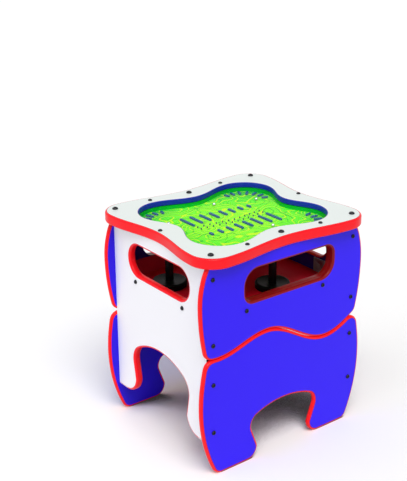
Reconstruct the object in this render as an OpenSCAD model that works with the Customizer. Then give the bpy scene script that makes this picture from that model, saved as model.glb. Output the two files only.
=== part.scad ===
// Activity table with four hand openings. Wands with magnets stand on an inner shelf and pull
// steel balls over a sealed play board under a clear window. Millimetres, +Z up, origin on the
// floor under the middle of the top. The front faces -Y, and the side panels face +X and -X.

/* [Top] */
// Width of the top, side to side
top_w = 490; // [470:1:520]
// Depth of the top, front to back
top_d = 444; // [430:1:470]
// Height of the top's surface above the floor
table_h = 541; // [530:1:580]
// Radius of the corners of the top
top_corner_r = 60; // [45:1:70]
// How far the side edges of the top wave inwards
top_side_wave = 22; // [4:1:26]
// How far the front and back edges of the top wave inwards
top_front_wave = 21; // [4:1:23]
// Thickness of each of the two boards of the top
top_board_t = 12.7; // [11:0.1:16]
// Radius rounded on the upper and lower outer edges of the top
top_edge_r = 5; // [2:0.5:6]

/* [Play tray] */
// Width of the rim beside the opening, from the lobes to the corners of the top
rim_w = 55; // [50:1:64]
// Width of the rim before and behind the opening
rim_d = 51; // [48:1:60]
// Radius of the lobes of the opening
lobe_r = 75; // [60:1:85]
// How far the sides of the opening wave inwards
opening_side_wave = 31; // [10:1:36]
// How far the front and back of the opening wave inwards
opening_front_wave = 29; // [8:1:32]
// Radius rounded on the rim of the opening
opening_edge_r = 2; // [1:0.5:3]
// Thickness of the clear window
window_t = 3; // [2:0.1:3.6]
// How far the window laps under the top board
window_lap = 9; // [6:0.5:10]
// Thickness of the play board
play_board_t = 6.4; // [5:0.1:8]
// Gap between the play board and the panels round it
play_board_gap = 0.3; // [0.1:0.1:1]
// Width of a chime bar
bar_w = 7; // [5:0.5:9]
// Height of a chime bar above the play board
bar_h = 4; // [1:0.1:6]
// Length of the longest chime bar
bar_long = 58; // [40:1:64]
// Length of the shortest chime bar
bar_short = 16; // [10:1:24]
// Distance between neighbouring long chime bars, as a share of the opening's width
bar_pitch_share = 0.071; // [0.05:0.001:0.072]
// Places of the two rows of long bars, as shares of the opening's depth
bar_row_share = [0.16, -0.118];
// Length of the short chime bars in the lobes
lobe_bar = 24; // [12:1:26]
// Diameter of a chime pin
pin_d = 3; // [2:0.1:4]
// Distance between neighbouring chime pins in a row
pin_pitch = 17; // [10:1:18]
// Distance between the two rows of chime pins
pin_row_gap = 14; // [8:1:15]
// How far the rows of chime pins sway to and fro
pin_sway = 5; // [1:1:6]
// Diameter of a steel ball
ball_d = 8.5; // [6:0.1:9]

/* [Panels] */
// Thickness of the wavy front and back panels
front_t = 12.7; // [11:0.1:15]
// Thickness of the side panels
side_t = 18; // [15:0.5:21]
// Thickness of the inner panels behind the front and back panels
liner_t = 12.7; // [11:0.1:15]
// How far the corners of the top reach past the side panels
side_overhang = 26; // [22:1:30]
// How far the corners of the top reach past the front and back panels
front_overhang = 27; // [24:1:32]
// Radius rounded on the panel edges
panel_edge_r = 5; // [1:0.5:5]
// How far the front panels stay inside the corners of the top at their widest
bulge_inset = 0.5; // [0:0.1:6]
// Radii of the bowed sides of the upper front panel, above and below its widest place
upper_bow = [207, 541];
// Radii of the bowed sides of the lower front panel, above and below its widest place
lower_bow = [411, 380];
// Radius of the front panels' corners at the seam and at the feet
panel_corner_r = 24; // [16:1:28]
// Gap at the wavy seam between the upper and the lower panel
seam_gap = 1; // [0.4:0.1:2]

/* [Heights, as shares of the table's height] */
// Widest place of the upper front panel
upper_bulge = 0.7855; // [0.74:0.005:0.81]
// Widest place of the lower front panel
lower_bulge = 0.3235; // [0.3:0.005:0.35]
// Crests of the seam
seam_crest = 0.5915; // [0.575:0.005:0.6]
// Shallow trough of the seam
seam_dip = 0.54; // [0.52:0.005:0.56]
// Deep trough of the seam
seam_trough = 0.4645; // [0.455:0.005:0.48]
// Arch under the front and back panels
front_arch = 0.2365; // [0.22:0.005:0.26]
// Arch in the side panels
side_arch = 0.4365; // [0.42:0.005:0.45]
// Bottom edge of the side panels
side_bottom = 0.1425; // [0.11:0.005:0.16]
// Middle of the hand openings
hand_height = 0.817; // [0.81:0.001:0.822]
// Top of the shelf
shelf_height = 0.669; // [0.655:0.001:0.675]
// Screws of the upper and lower front panels
front_screw_heights = [0.8985, 0.6085, 0.429, 0.208];

/* [Arches] */
// Centre and radius of the front arch's shoulder: its place as shares of half the panel's width and of
// the arch's height, and its radius as a share of that height
front_shoulder_share = [0.286, 0.672, 0.219];
// Front foot's toe: how far its centre lies outside the shoulder's, as a share of the sum of their
// radii, and its radius as a share of the arch's height
front_toe_share = [0.69, 0.234];
// Centre and radius of the side arch's shoulder, as shares of half the box's depth and of the arch's rise
side_shoulder_share = [0.3435, 0.616, 0.27];
// Side panel's toe, by the same shares
side_toe_share = [0.9, 0.2955];

/* [Hand openings] */
// Height of the hand openings
hand_h = 76; // [66:1:80]
// Width of the side hand openings, as a share of the depth of the top
side_hand_share = 0.5315; // [0.48:0.005:0.56]
// Width of the front hand openings, as a share of the width of the top
front_hand_share = 0.539; // [0.48:0.005:0.55]
// Offset of the front hand opening to the right of the middle, as a share of the width of the top
front_hand_shift = 0.0305; // [0:0.001:0.04]
// Larger corner radius of the front hand opening
hand_round_big = 37; // [26:1:37]
// Smaller corner radius of the front hand opening
hand_round_small = 22; // [12:1:25]

/* [Shelf] */
// Thickness of the shelf
shelf_t = 15; // [12:0.5:18]
// Gap between the shelf and the walls
shelf_gap = 0.3; // [0.1:0.1:1]
// Thickness of the steel shelf hangers on the side panels
hanger_t = 3; // [2:0.1:4]
// Width of a shelf hanger
hanger_w = 40; // [30:1:50]
// Length of a hanger's foot under the shelf
hanger_foot = 34; // [24:1:40]
// Height of the screws of the hangers and of the inner panels above the shelf
hanger_screw_rise = 24; // [18:1:28]
// Height of a hanger's end above its screw
hanger_end_rise = 12; // [8:1:16]
// Distance from the middle to a hanger, as a share of the depth of the top
side_hanger_share = 0.2117; // [0.16:0.005:0.24]
// Distance from the middle to the screws of an inner panel, as a share of the width of the top
liner_screw_share = 0.2357; // [0.2:0.005:0.26]

/* [Fasteners] */
// Diameter of the heads of the panel screws
screw_head_d = 10.5; // [8:0.5:12]
// Diameter of the shanks of the panel screws
screw_d = 4.6; // [3.5:0.1:5.5]
// Length of the panel screws
panel_screw_len = 48; // [35:1:60]
// Length of the small screws in the top
top_screw_len = 42; // [36:1:60]
// Diameter of the heads of the top bolts
bolt_head_d = 14; // [11:0.5:16]
// Diameter of the top bolts
bolt_d = 6; // [5:0.1:6.4]
// Outer diameter of the threaded inserts
insert_d = 9; // [8:0.1:9.6]
// Length of the threaded inserts
insert_len = 13; // [8:0.5:15]
// Place of the small screws in the front and back of the top, as a share of its width
top_screw_share = 0.2225; // [0.18:0.005:0.26]
// Diameter of the heads of the small screws inside the table
small_head_d = 6; // [5:0.5:7]
// Diameter of the small screws inside the table
small_screw_d = 3; // [2.5:0.1:4]
// How deep the tray screws go into the tray frame
tray_screw_bite = 8.5; // [5:0.5:10]
// How deep the shelf screws go into the shelf
shelf_screw_bite = 12; // [8:0.5:14]
// How deep the screws of the inner panels go into them
liner_screw_bite = 9.5; // [6:0.5:10]
// Clearance between a fastener and its hole, on the radius
hole_clear = 0.05; // [0.02:0.01:0.2]

/* [Wands] */
// Diameter of the round base of a wand
wand_base_d = 84; // [70:1:84]
// Height of the base of a wand
wand_base_h = 15; // [10:0.5:20]
// Thickness of the felt glide under a wand
glide_t = 2; // [1:0.5:3]
// Diameter of the post of a wand
post_d = 20; // [14:0.5:24]
// Depth to which the post sits in the base and in the head
post_seat = 8; // [5:0.5:10]
// Diameter of the head of a wand
head_d = 34; // [30:0.5:38]
// Height of the head of a wand
head_h = 20; // [18:0.5:30]
// Diameter of the magnet
magnet_d = 25; // [18:0.5:26]
// Thickness of the magnet
magnet_t = 8; // [4:0.5:9]
// Gap between a wand's head and the play board
head_gap = 0.8; // [0.4:0.1:2]
// Gap between a moving piece and the surface that it runs on
run_gap = 0.2; // [0.1:0.05:0.3]
// Distance from the side panels to the edges of the side wands' bases
side_lane_gap = 21; // [17:1:22]
// Distance from the front inner panel to the edge of the front wand's base
front_lane_gap = 35.6; // [30:0.1:37]
// Distance from the back inner panel to the edge of the back wand's base
back_lane_gap = 15.6; // [12:0.1:18]
// Places of the wands along their lanes, as shares of the way to the wall: left, right, front, back
wand_rest = [0.413, 0.46, 0.239, 0.149];

/* [Hidden] */
// Past the face by which a cutter reaches, and the spare edge that is trimmed where panels meet
past = 1;
trim = 8;
// Levels of the top
panel_top_z = table_h - 2 * top_board_t;
joint_z = table_h - top_board_t;
board_z = panel_top_z;
board_under_z = board_z - play_board_t;
// Opening in the top
opening_w = top_w - 2 * rim_w;
opening_d = top_d - 2 * rim_d;
bar_pitch = opening_w * bar_pitch_share;
// Faces of the box
side_face = top_w / 2 - side_overhang;
side_inner = side_face - side_t;
front_face = top_d / 2 - front_overhang;
liner_face = front_face - front_t;
inner_face = liner_face - liner_t;
// Middles of the panels' thickness, where their fasteners go
side_mid = side_face - side_t / 2;
front_mid = front_face - front_t / 2;
liner_mid = liner_face - liner_t / 2;
// Heights
upper_bulge_z = table_h * upper_bulge;
lower_bulge_z = table_h * lower_bulge;
front_arch_z = table_h * front_arch;
side_arch_z = table_h * side_arch;
side_bottom_z = table_h * side_bottom;
hand_z = table_h * hand_height;
shelf_z = table_h * shelf_height;
hanger_screw_z = shelf_z + hanger_screw_rise;
front_screw_z = table_h * front_screw_heights;
// Half the width of the front panels at their widest
bulge_x = top_w / 2 - bulge_inset;
// Knots of the seam: it swings from each knot's height to the next as half a cosine wave
seam_knots = [[-1.37 * bulge_x, seam_crest * table_h], [-0.798 * bulge_x, seam_dip * table_h],
    [-0.225 * bulge_x, seam_crest * table_h], [0.523 * bulge_x, seam_trough * table_h],
    [1.26 * bulge_x, (seam_crest - 0.011) * table_h]];
// Arches: shoulder as [x, z, radius] and toe as [x, radius]
front_shoulder = [bulge_x * front_shoulder_share.x, front_arch_z * front_shoulder_share.y,
    front_arch_z * front_shoulder_share.z];
front_toe = toe(front_shoulder, front_arch_z, front_toe_share);
side_rise = side_arch_z - side_bottom_z;
side_shoulder = [front_face * side_shoulder_share.x, side_bottom_z + side_rise * side_shoulder_share.y,
    side_rise * side_shoulder_share.z];
side_toe = toe(side_shoulder, side_rise, side_toe_share);
function toe(shoulder, rise, share) =
    let(r = rise * share.y) [shoulder.x + share.x * (shoulder.z + r), r];
// Hand openings and hangers
side_hand_w = top_d * side_hand_share;
front_hand_w = top_w * front_hand_share;
front_hand_x = top_w * front_hand_shift;
liner_screw_x = top_w * liner_screw_share;
side_hanger_y = top_d * side_hanger_share;
// The inner panels reach a little below the shelf
liner_z = shelf_z - shelf_t - hanger_t - 4;
// Lanes of the wands, as distances from the middle
side_lane_x = side_inner - side_lane_gap - wand_base_d / 2;
front_lane_y = inner_face - front_lane_gap - wand_base_d / 2;
back_lane_y = inner_face - back_lane_gap - wand_base_d / 2;
// Lengths of the bolts
bolt_len = 2 * top_board_t + insert_len;
mid_bolt_len = bolt_len + play_board_t;
// Sides of a full circle, and steps of a rounded corner, a wave and the seam
$fn = 48;
corner_steps = 7;
wave_steps = 8;
seam_steps = 26;

// ---- outlines ----

function arc(c, r, a0, a1, n) = [for (i = [0:n]) let(a = a0 + (a1 - a0) * i / n) c + r * [cos(a), sin(a)]];
function mirrored(pts) = [for (i = [len(pts) - 1:-1:0]) [-pts[i].x, pts[i].y]];

// Four round lobes joined by shallow waves, counterclockwise
function lobed(w, d, r, side_wave, front_wave) =
    let(cx = w / 2 - r, cy = d / 2 - r, n = wave_steps, m = corner_steps,
        side = [for (i = [1:n - 1]) let(y = cy * (2 * i / n - 1))
            [w / 2 - side_wave * (1 + cos(180 * y / cy)) / 2, y]],
        back = [for (i = [1:n - 1]) let(x = cx * (1 - 2 * i / n))
            [x, d / 2 - front_wave * (1 + cos(180 * x / cx)) / 2]])
    concat(side, arc([cx, cy], r, 0, 90, m), back, arc([-cx, cy], r, 90, 180, m),
        -side, arc([-cx, -cy], r, 180, 270, m), -back, arc([cx, -cy], r, 270, 360, m));

// Rectangle about c with its own radius at each corner, from the lower right one, counterclockwise
function round_rect(c, w, h, radii) =
    let(sx = [1, 1, -1, -1], sy = [-1, 1, 1, -1])
    [for (k = [0:3]) each arc(c + [sx[k] * (w / 2 - radii[k]), sy[k] * (h / 2 - radii[k])],
        radii[k], 90 * k - 90, 90 * k, corner_steps)];

// Arch between two feet, from left to right: toe, shoulder, crown, shoulder, toe
function arch(top_z, bottom_z, shoulder, toe) =
    let(s = [shoulder.x, shoulder.y], sr = shoulder.z, t = [toe.x, bottom_z + toe.y], tr = toe.y,
        rise = s.y - top_z,
        crown_r = (sr * sr - s.x * s.x - rise * rise) / (2 * (rise + sr)),
        crown = [0, top_z - crown_r],
        lean = atan2(s.y - crown.y, s.x),
        touch = atan2(t.y - s.y, t.x - s.x) + acos((sr + tr) / norm(t - s)),
        toe_turn = 90 - touch,
        right = concat(arc(s, sr, lean, touch, corner_steps),
            arc(t, tr, 180 + touch + toe_turn / corner_steps, 270, corner_steps - 1)))
    concat(mirrored(right), [for (i = [1:5]) crown + crown_r * [cos(180 - lean + (2 * lean - 180) * i / 6),
        sin(180 - lean + (2 * lean - 180) * i / 6)]], right);

// Height and slope of the seam at x
function seam_span(x) = min(len(seam_knots) - 2, len([for (k = seam_knots) if (k.x <= x) 1]) - 1);
function seam_z(x) = let(a = seam_knots[seam_span(x)], b = seam_knots[seam_span(x) + 1])
    (a.y + b.y) / 2 + (a.y - b.y) / 2 * cos(180 * (x - a.x) / (b.x - a.x));
function seam_slope(x) = let(a = seam_knots[seam_span(x)], b = seam_knots[seam_span(x) + 1])
    -(a.y - b.y) / 2 * sin(180 * (x - a.x) / (b.x - a.x)) * PI / (b.x - a.x);

// Point at a distance from the seam: above it where the distance is positive
function off_seam(x, distance) = let(m = seam_slope(x), k = distance / sqrt(1 + m * m))
    [x - m * k, seam_z(x) + k];

// Seam place at which a corner round also touches the bowed side, found by halving
function corner_x(up, lr, bow_c, bow_r, lo, hi, n) =
    let(mid = (lo + hi) / 2, c = off_seam(lr * mid, up * (panel_corner_r + seam_gap / 2)))
    n == 0 ? lr * mid
    : norm(c - [lr * bow_c.x, bow_c.y]) > bow_r - panel_corner_r
        ? corner_x(up, lr, bow_c, bow_r, lo, mid, n - 1)
        : corner_x(up, lr, bow_c, bow_r, mid, hi, n - 1);

// Outline of the upper front panel, counterclockwise, with spare height for trimming
function upper_outline() =
    let(w = bulge_x, top = [w - upper_bow[0], upper_bulge_z], low = [w - upper_bow[1], upper_bulge_z],
        xr = corner_x(1, 1, low, upper_bow[1], 0, w, 30), xl = corner_x(1, -1, low, upper_bow[1], 0, w, 30),
        cr = off_seam(xr, panel_corner_r + seam_gap / 2), cl = off_seam(xl, panel_corner_r + seam_gap / 2),
        ar = atan2(cr.y - low.y, cr.x - low.x), al = atan2(cl.y - low.y, -cl.x - low.x),
        end = asin((panel_top_z + trim - upper_bulge_z) / upper_bow[0]),
        sr = atan(seam_slope(xr)), sl = atan(seam_slope(xl)))
    concat([for (i = [1:seam_steps - 1]) off_seam(xl + (xr - xl) * i / seam_steps, seam_gap / 2)],
        arc(cr, panel_corner_r, sr - 90, ar, corner_steps),
        arc(low, upper_bow[1], ar * 0.75, 0, 3), arc(top, upper_bow[0], end / 4, end, 3),
        mirrored(arc(top, upper_bow[0], end / 4, end, 3)),
        mirrored(arc(low, upper_bow[1], al * 0.75, 0, 3)),
        arc(cl, panel_corner_r, 180 - al, 270 + sl, corner_steps));

// Outline of the lower front panel, counterclockwise
function lower_outline() =
    let(w = bulge_x, r = panel_corner_r, up = [w - lower_bow[0], lower_bulge_z],
        low = [w - lower_bow[1], lower_bulge_z],
        xr = corner_x(-1, 1, up, lower_bow[0], 0, w, 30), xl = corner_x(-1, -1, up, lower_bow[0], 0, w, 30),
        cr = off_seam(xr, -r - seam_gap / 2), cl = off_seam(xl, -r - seam_gap / 2),
        ar = atan2(cr.y - up.y, cr.x - up.x), al = atan2(cl.y - up.y, -cl.x - up.x),
        foot = [low.x + sqrt(pow(lower_bow[1] - r, 2) - pow(lower_bulge_z - r, 2)), r],
        af = atan2(foot.y - low.y, foot.x - low.x),
        right_foot = concat(arc(foot, r, -90, af, corner_steps), arc(low, lower_bow[1], af * 0.8, 0, 4)))
    concat(right_foot, arc(up, lower_bow[0], ar / 3, ar * 0.9, 2),
        arc(cr, r, ar, 90 + atan(seam_slope(xr)), corner_steps),
        [for (i = [1:seam_steps - 1]) off_seam(xr + (xl - xr) * i / seam_steps, -seam_gap / 2)],
        arc(cl, r, 90 + atan(seam_slope(xl)), 180 - al, corner_steps),
        mirrored(arc(up, lower_bow[0], al / 3, al * 0.9, 2)), mirrored(right_foot),
        arch(front_arch_z, 0, front_shoulder, front_toe));

// Outline of a side panel, counterclockwise, with spare width and height for trimming
function side_outline() = let(w = liner_face + trim)
    concat([[w, side_bottom_z], [w, panel_top_z + trim], [0, panel_top_z + trim],
        [-w, panel_top_z + trim], [-w, side_bottom_z]],
        arch(side_arch_z, side_bottom_z, side_shoulder, side_toe));

top_outline = lobed(top_w, top_d, top_corner_r, top_side_wave, top_front_wave);
opening_outline = lobed(opening_w, opening_d, lobe_r, opening_side_wave, opening_front_wave);
front_hand_outline = round_rect([front_hand_x, hand_z], front_hand_w, hand_h,
    [hand_round_big, hand_round_small, hand_round_big, hand_round_small]);
side_hand_outline = round_rect([0, hand_z], side_hand_w, hand_h, [1, 1, 1, 1] * (hand_h / 2 - 0.5));

// ---- solids from outlines ----

function unit(v) = v / norm(v);
// Mitred step from each point of a counterclockwise outline towards its inside
function inward(pts) = let(n = len(pts)) [for (i = [0:n - 1])
    let(e = unit(pts[i] - pts[(i + n - 1) % n]), f = unit(pts[(i + 1) % n] - pts[i]),
        a = [-e.y, e.x], b = [-f.y, f.x]) (a + b) / (1 + a * b)];

// Rings of a rounded edge as [height, inset]: one that rises from a face at z, and one that ends there
function round_from(z, r) = [for (a = [0, 45, 90]) [z + r * (1 - cos(a)), r * (1 - sin(a))]];
function round_to(z, r) = [for (a = [90, 45, 0]) [z - r * (1 - cos(a)), r * (1 - sin(a))]];
// The same edges of a hole, where the cutter widens
function flare_from(z, r) = [for (k = round_from(z, r)) [k.x, -k.y]];
function flare_to(z, r) = [for (k = round_to(z, r)) [k.x, -k.y]];

// Which hub a point of an arched panel belongs to: 0 left leg, 1 middle, 2 right leg
function hub_of(p, zone) = len(zone) == 0 ? 0 : abs(p.x) < zone.x && p.y > zone.y ? 1 : p.x < 0 ? 0 : 2;

// Solid that follows an outline through rings of [height, inset]. Its two ends are fans of triangles
// round hubs: one for a plain outline, and one in each leg and in the middle for an arched one
module skin(pts, rings, hubs = [[0, 0]], zone = []) {
    n = len(pts);
    k = len(rings);
    m = len(hubs);
    step = inward(pts);
    corners = [for (ring = rings) for (i = [0:n - 1])
        let(q = pts[i] + ring[1] * step[i]) [q.x, q.y, ring[0]]];
    ends = [for (z = [rings[0][0], rings[k - 1][0]]) for (h = hubs) [h.x, h.y, z]];
    walls = [for (j = [0:k - 2]) for (i = [0:n - 1]) let(a = j * n + i, b = j * n + (i + 1) % n)
        each [[a, a + n, b + n], [a, b + n, b]]];
    fans = [for (i = [0:n - 1]) let(j = (i + 1) % n, g = hub_of(pts[i], zone), h = hub_of(pts[j], zone))
        each concat([[i, j, n * k + g]], g == h ? [] : [[j, n * k + h, n * k + g]])];
    top_fans = [for (f = fans) [for (v = [f[2], f[1], f[0]]) v < n ? v + (k - 1) * n : v + m]];
    polyhedron(concat(corners, ends), concat(walls, fans, top_fans), convexity = 6);
}

// Panel of thickness t with all its edges rounded
module rounded_panel(pts, t, hubs, zone = []) {
    skin(pts, concat(round_from(0, panel_edge_r), round_to(t, panel_edge_r)), hubs, zone);
}

// Cutter for a hole through a panel of thickness t, flared at the outer face and, if asked, the inner
module hole_cutter(pts, hub, t, inner_r) {
    inner = inner_r > 0 ? concat([[-past, -inner_r]], flare_from(0, inner_r)) : [[-past, 0]];
    skin(pts, concat(inner, flare_to(t, panel_edge_r), [[t + past, -panel_edge_r]]), [hub]);
}

// Stand a panel drawn flat so that its outer face lies towards -Y at a distance from the middle
module stand(inner_distance) {
    translate([0, -inner_distance, 0]) rotate([90, 0, 0]) children();
}
// Turn front pieces to a side: 0 front, -90 left, 90 right, 180 back
module turned(a) {
    rotate([0, 0, a]) children();
}

// ---- fasteners, drawn with the head's seat at z = 0 and the shank downwards ----

module button_head(d, shank_d, length) {
    h = d * 0.3;
    difference() {
        rotate_extrude() polygon(concat([[0, 0], [d / 2, 0]],
            [for (a = [30:30:90]) [d / 2 * cos(a * 0.75), h * sin(a)]], [[0, h]]));
        translate([0, 0, h * 0.45]) cylinder(d = d * 0.4, h = h, $fn = 6);
    }
    translate([0, 0, -length]) cylinder(d = shank_d, h = length + 0.01);
}

module pan_head(d, shank_d, length) {
    h = d * 0.32;
    rotate_extrude() polygon([[0, 0], [d / 2, 0], [d / 2, h * 0.6], [d / 2 - h * 0.4, h], [0, h]]);
    translate([0, 0, -length]) cylinder(d = shank_d, h = length + 0.01);
}

// Screw places
function corners_at(x, y) = [for (sx = [-1, 1]) for (sy = [-1, 1]) [sx * x, sy * y]];
top_bolt_places = corners_at(side_mid, front_mid);
mid_bolt_places = [[0, -liner_mid], [0, liner_mid]];
bolt_places = concat(top_bolt_places, mid_bolt_places);
top_screw_places = concat(corners_at(top_w * top_screw_share, front_mid), [[-side_mid, 0], [side_mid, 0]]);
// The tray screws go up beside the opening: by its lobes, and in the middle of its waves
tray_screw_y = opening_d / 2 - opening_front_wave + 14;
tray_screw_x = opening_w / 2 - opening_side_wave + 20;
tray_screw_places = concat(corners_at(side_inner - 16, inner_face - 5),
    [[0, -tray_screw_y], [0, tray_screw_y], [-tray_screw_x, 0], [tray_screw_x, 0]]);

module at(places, z) {
    for (p = places) translate([p.x, p.y, z]) children();
}
module drill(places, z0, z1, d) {
    at(places, z0) cylinder(d = d + 2 * hole_clear, h = z1 - z0);
}

// ---- top ----

module top_board() {
    color("whitesmoke") difference() {
        translate([0, 0, joint_z])
            skin(top_outline, concat([[0, 0]], round_to(top_board_t, top_edge_r)));
        translate([0, 0, joint_z]) skin(opening_outline, concat([[-past, 0]],
            flare_to(top_board_t, opening_edge_r), [[top_board_t + past, -opening_edge_r]]));
        drill(bolt_places, joint_z - past, table_h + past, bolt_d);
        drill(top_screw_places, joint_z - past, table_h + past, screw_d);
    }
}

module tray_frame() {
    color("red") difference() {
        translate([0, 0, panel_top_z])
            skin(top_outline, concat(round_from(0, top_edge_r), [[top_board_t, 0]]));
        translate([0, 0, panel_top_z - past])
            linear_extrude(top_board_t + 2 * past) polygon(opening_outline);
        translate([0, 0, joint_z - window_t]) linear_extrude(window_t + past) grown_opening(window_lap);
        drill(bolt_places, panel_top_z - past, joint_z + past, bolt_d);
        drill(top_screw_places, panel_top_z - past, joint_z + past, screw_d);
        drill(tray_screw_places, board_z - past, board_z + tray_screw_bite + past / 2, small_screw_d);
    }
}

// The opening's outline grown by a lap
module grown_opening(lap) {
    step = inward(opening_outline);
    polygon([for (i = [0:len(step) - 1]) opening_outline[i] - lap * step[i]]);
}

module window() {
    color("lightcyan", 0.35) translate([0, 0, joint_z - window_t])
        linear_extrude(window_t) grown_opening(window_lap - shelf_gap);
}

module play_board() {
    color("lawngreen") difference() {
        translate([0, 0, board_z - play_board_t / 2]) cube([2 * (side_inner - play_board_gap),
            2 * (liner_face - play_board_gap), play_board_t], center = true);
        drill(tray_screw_places, board_under_z - past, board_z + past, small_screw_d);
        drill(mid_bolt_places, board_under_z - past, board_z + past, bolt_d);
    }
}

// Bar with round ends that lies along Y on the play board
module bar(x, y, length, turn) {
    translate([x, y, board_z]) rotate([0, 0, turn]) linear_extrude(bar_h) union() {
        square([bar_w, length - bar_w], center = true);
        for (s = [-1, 1]) translate([0, s * (length - bar_w) / 2]) circle(d = bar_w, $fn = 16);
    }
}

// Two graded rows in the middle and a fan of short bars round each lobe
module chime_bars() {
    color("navy") {
        for (i = [0:7]) {
            graded = bar_long - (bar_long - bar_short) * i / 7;
            bar((i - 3.5) * bar_pitch, opening_d * bar_row_share[0], graded, 0);
            bar((3.5 - i) * bar_pitch, opening_d * bar_row_share[1], graded, 0);
        }
        for (q = [0:3]) for (i = [-3:3]) {
            a = 90 * q + 45 + 20 * i;
            fan_r = lobe_r - lobe_bar / 2 - 7;
            bar(lobe_centre(q).x + fan_r * cos(a), lobe_centre(q).y + fan_r * sin(a),
                lobe_bar - 2 * abs(i), a - 90);
        }
    }
}
function lobe_centre(q) = let(a = 90 * q + 45)
    [sign(cos(a)) * (opening_w / 2 - lobe_r), sign(sin(a)) * (opening_d / 2 - lobe_r)];

// Pins in two bowed rows between the graded bars
module chime_pins() {
    color("teal") for (i = [0:11]) for (row = [0, 1])
        translate([(i - 5.5) * pin_pitch, pin_row_gap * (0.65 - row) + pin_sway * cos(30 * i), board_z])
            cylinder(d = pin_d, h = bar_h, $fn = 16);
}

module tray_screws() {
    color("dimgray") at(tray_screw_places, board_under_z) rotate([180, 0, 0])
        pan_head(small_head_d, small_screw_d, play_board_t + tray_screw_bite);
}

module top_bolts() {
    color("black") {
        at(top_bolt_places, table_h) button_head(bolt_head_d, bolt_d, bolt_len);
        at(mid_bolt_places, table_h) button_head(bolt_head_d, bolt_d, mid_bolt_len);
    }
}

// Threaded inserts whose tops lie at z
module insert_at(places, z) {
    difference() {
        at(places, z - insert_len) cylinder(d = insert_d, h = insert_len);
        drill(places, z - insert_len - past, z + past, bolt_d);
    }
}

module top_inserts() {
    color("goldenrod") {
        insert_at(top_bolt_places, panel_top_z);
        insert_at(mid_bolt_places, board_under_z);
    }
}

module top_screws() {
    color("black") at(top_screw_places, table_h) button_head(screw_head_d, screw_d, top_screw_len);
}

// ---- panels ----

// Holes down into the panels from the top
module top_fastener_holes() {
    drill(top_bolt_places, panel_top_z - insert_len, panel_top_z + past, insert_d);
    drill(mid_bolt_places, board_under_z - insert_len, panel_top_z + past, insert_d);
    drill(top_screw_places, table_h - top_screw_len - past, panel_top_z + past, screw_d);
}

// Keep what lies under the top
module under_top() {
    intersection() {
        children();
        translate([0, 0, panel_top_z / 2]) cube([2 * top_w, 2 * top_d, panel_top_z], center = true);
    }
}

module at_front_screws(heights) {
    for (s = [-1, 1]) for (z = heights)
        translate([s * side_mid, -front_face, z]) rotate([90, 0, 0]) children();
}
// Screws of a liner or a hanger, on a wall whose outer face lies at a distance from the middle
module at_wall_screws(face, place) {
    for (s = [-1, 1]) translate([s * place, -face, hanger_screw_z]) rotate([90, 0, 0]) children();
}
module front_screw_holes(heights) {
    at_front_screws(heights) translate([0, 0, -panel_screw_len - past])
        cylinder(d = screw_d + 2 * hole_clear, h = panel_screw_len + 2 * past);
}
// Holes for those screws, from an outer face to an inner one
module wall_screw_holes(face, inner, place) {
    at_wall_screws(face, place) translate([0, 0, inner - face - past])
        cylinder(d = screw_d + 2 * hole_clear, h = face - inner + 2 * past);
}

module upper_panel() {
    under_top() difference() {
        stand(liner_face) rounded_panel(upper_outline(), front_t, [[0, hand_z]]);
        stand(liner_face) hole_cutter(front_hand_outline, [front_hand_x, hand_z], front_t, 0);
        front_screw_holes([front_screw_z[0], front_screw_z[1]]);
        wall_screw_holes(front_face, liner_face, liner_screw_x);
        top_fastener_holes();
    }
}
// Hubs of the legs and the middle, and the half-width and lowest height of the middle's points
leg_x = bulge_x * 0.57;
lower_hubs = [[-leg_x, front_arch_z * 0.78], [0, front_arch_z * 1.48], [leg_x, front_arch_z * 0.78]];
lower_zone = [front_shoulder.x + front_shoulder.z * 0.68, front_shoulder.y + front_shoulder.z * 0.75];
module lower_panel() {
    difference() {
        stand(liner_face) rounded_panel(lower_outline(), front_t, lower_hubs, lower_zone);
        front_screw_holes([front_screw_z[2], front_screw_z[3]]);
    }
}
module front_upper_panel() { color("mediumblue") upper_panel(); }
module front_lower_panel() { color("mediumblue") lower_panel(); }
module back_upper_panel() { color("mediumblue") turned(180) upper_panel(); }
module back_lower_panel() { color("mediumblue") turned(180) lower_panel(); }

// Side panel, drawn at the front and turned to its side
side_leg = [front_face * 0.77, side_shoulder.y + side_shoulder.z * 0.35];
side_hubs = [[-side_leg.x, side_leg.y], [0, side_arch_z + 2 * side_shoulder.z], [side_leg.x, side_leg.y]];
side_zone = [side_shoulder.x + side_shoulder.z, side_shoulder.y + side_shoulder.z * 0.7];
module side_panel() {
    difference() {
        intersection() {
            stand(side_inner) rounded_panel(side_outline(), side_t, side_hubs, side_zone);
            translate([-liner_face, -side_face - past, 0])
                cube([2 * liner_face, side_t + 2 * past, panel_top_z]);
        }
        stand(side_inner) hole_cutter(side_hand_outline, [0, hand_z], side_t, panel_edge_r);
        wall_screw_holes(side_face, side_inner, side_hanger_y);
    }
}
module left_panel() {
    color("white") difference() {
        turned(-90) side_panel();
        for (a = [0, 180]) turned(a) front_screw_holes(front_screw_z);
        top_fastener_holes();
    }
}
module right_panel() {
    color("white") difference() {
        turned(90) side_panel();
        for (a = [0, 180]) turned(a) front_screw_holes(front_screw_z);
        top_fastener_holes();
    }
}

// Inner panel that doubles the wall at the hand opening and closes the shelf's edge
module liner() {
    difference() {
        stand(inner_face) difference() {
            linear_extrude(liner_t) polygon([[-side_inner, liner_z], [side_inner, liner_z],
                [side_inner, board_under_z], [-side_inner, board_under_z]]);
            translate([0, 0, -past]) linear_extrude(liner_t + 2 * past) polygon(front_hand_outline);
        }
        wall_screw_holes(liner_face, liner_face - liner_screw_bite + past / 2, liner_screw_x);
        top_fastener_holes();
    }
}
module front_liner() { color("mediumblue") liner(); }
module back_liner() { color("mediumblue") turned(180) liner(); }

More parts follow.
